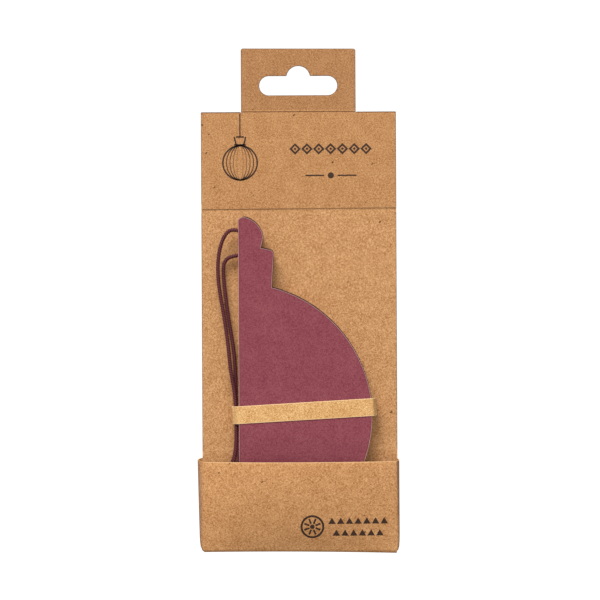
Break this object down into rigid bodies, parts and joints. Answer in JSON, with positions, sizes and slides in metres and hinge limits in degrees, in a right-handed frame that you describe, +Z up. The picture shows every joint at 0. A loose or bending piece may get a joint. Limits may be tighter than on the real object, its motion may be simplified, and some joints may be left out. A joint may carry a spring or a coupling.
{
  "type": "flat-folded paper bauble in a card hang pack",
  "caption": "Half-silhouette paper bauble folded flat, with paper band and cord loop, held in the front pocket of a folded kraft card hang pack with a hang slot.",
  "frame": {"origin": "top of the hang slot's middle notch, where a peg bears, on the back face of the hang tab", "axes": "+X to the right seen from the front, +Z up as it hangs, the front faces -Y"},
  "size_m": [0.0828, 0.0111, 0.2064],
  "materials": {
    "kraft_card": "uncoated kraft, fine fibre mottle",
    "burgundy_board": "matt printed board",
    "burgundy_leaves": "matt paper",
    "kraft_band": "uncoated kraft",
    "burgundy_cord": "waxed, slightly glossy twist"
  },
  "bodies": {
    "root": {"hang_card": "kraft_card", "front_cover": "burgundy_board", "leaf_block": "burgundy_leaves", "back_cover": "burgundy_board", "band": "kraft_band", "hanging_cord": "burgundy_cord"}
  },
  "joints": []
}
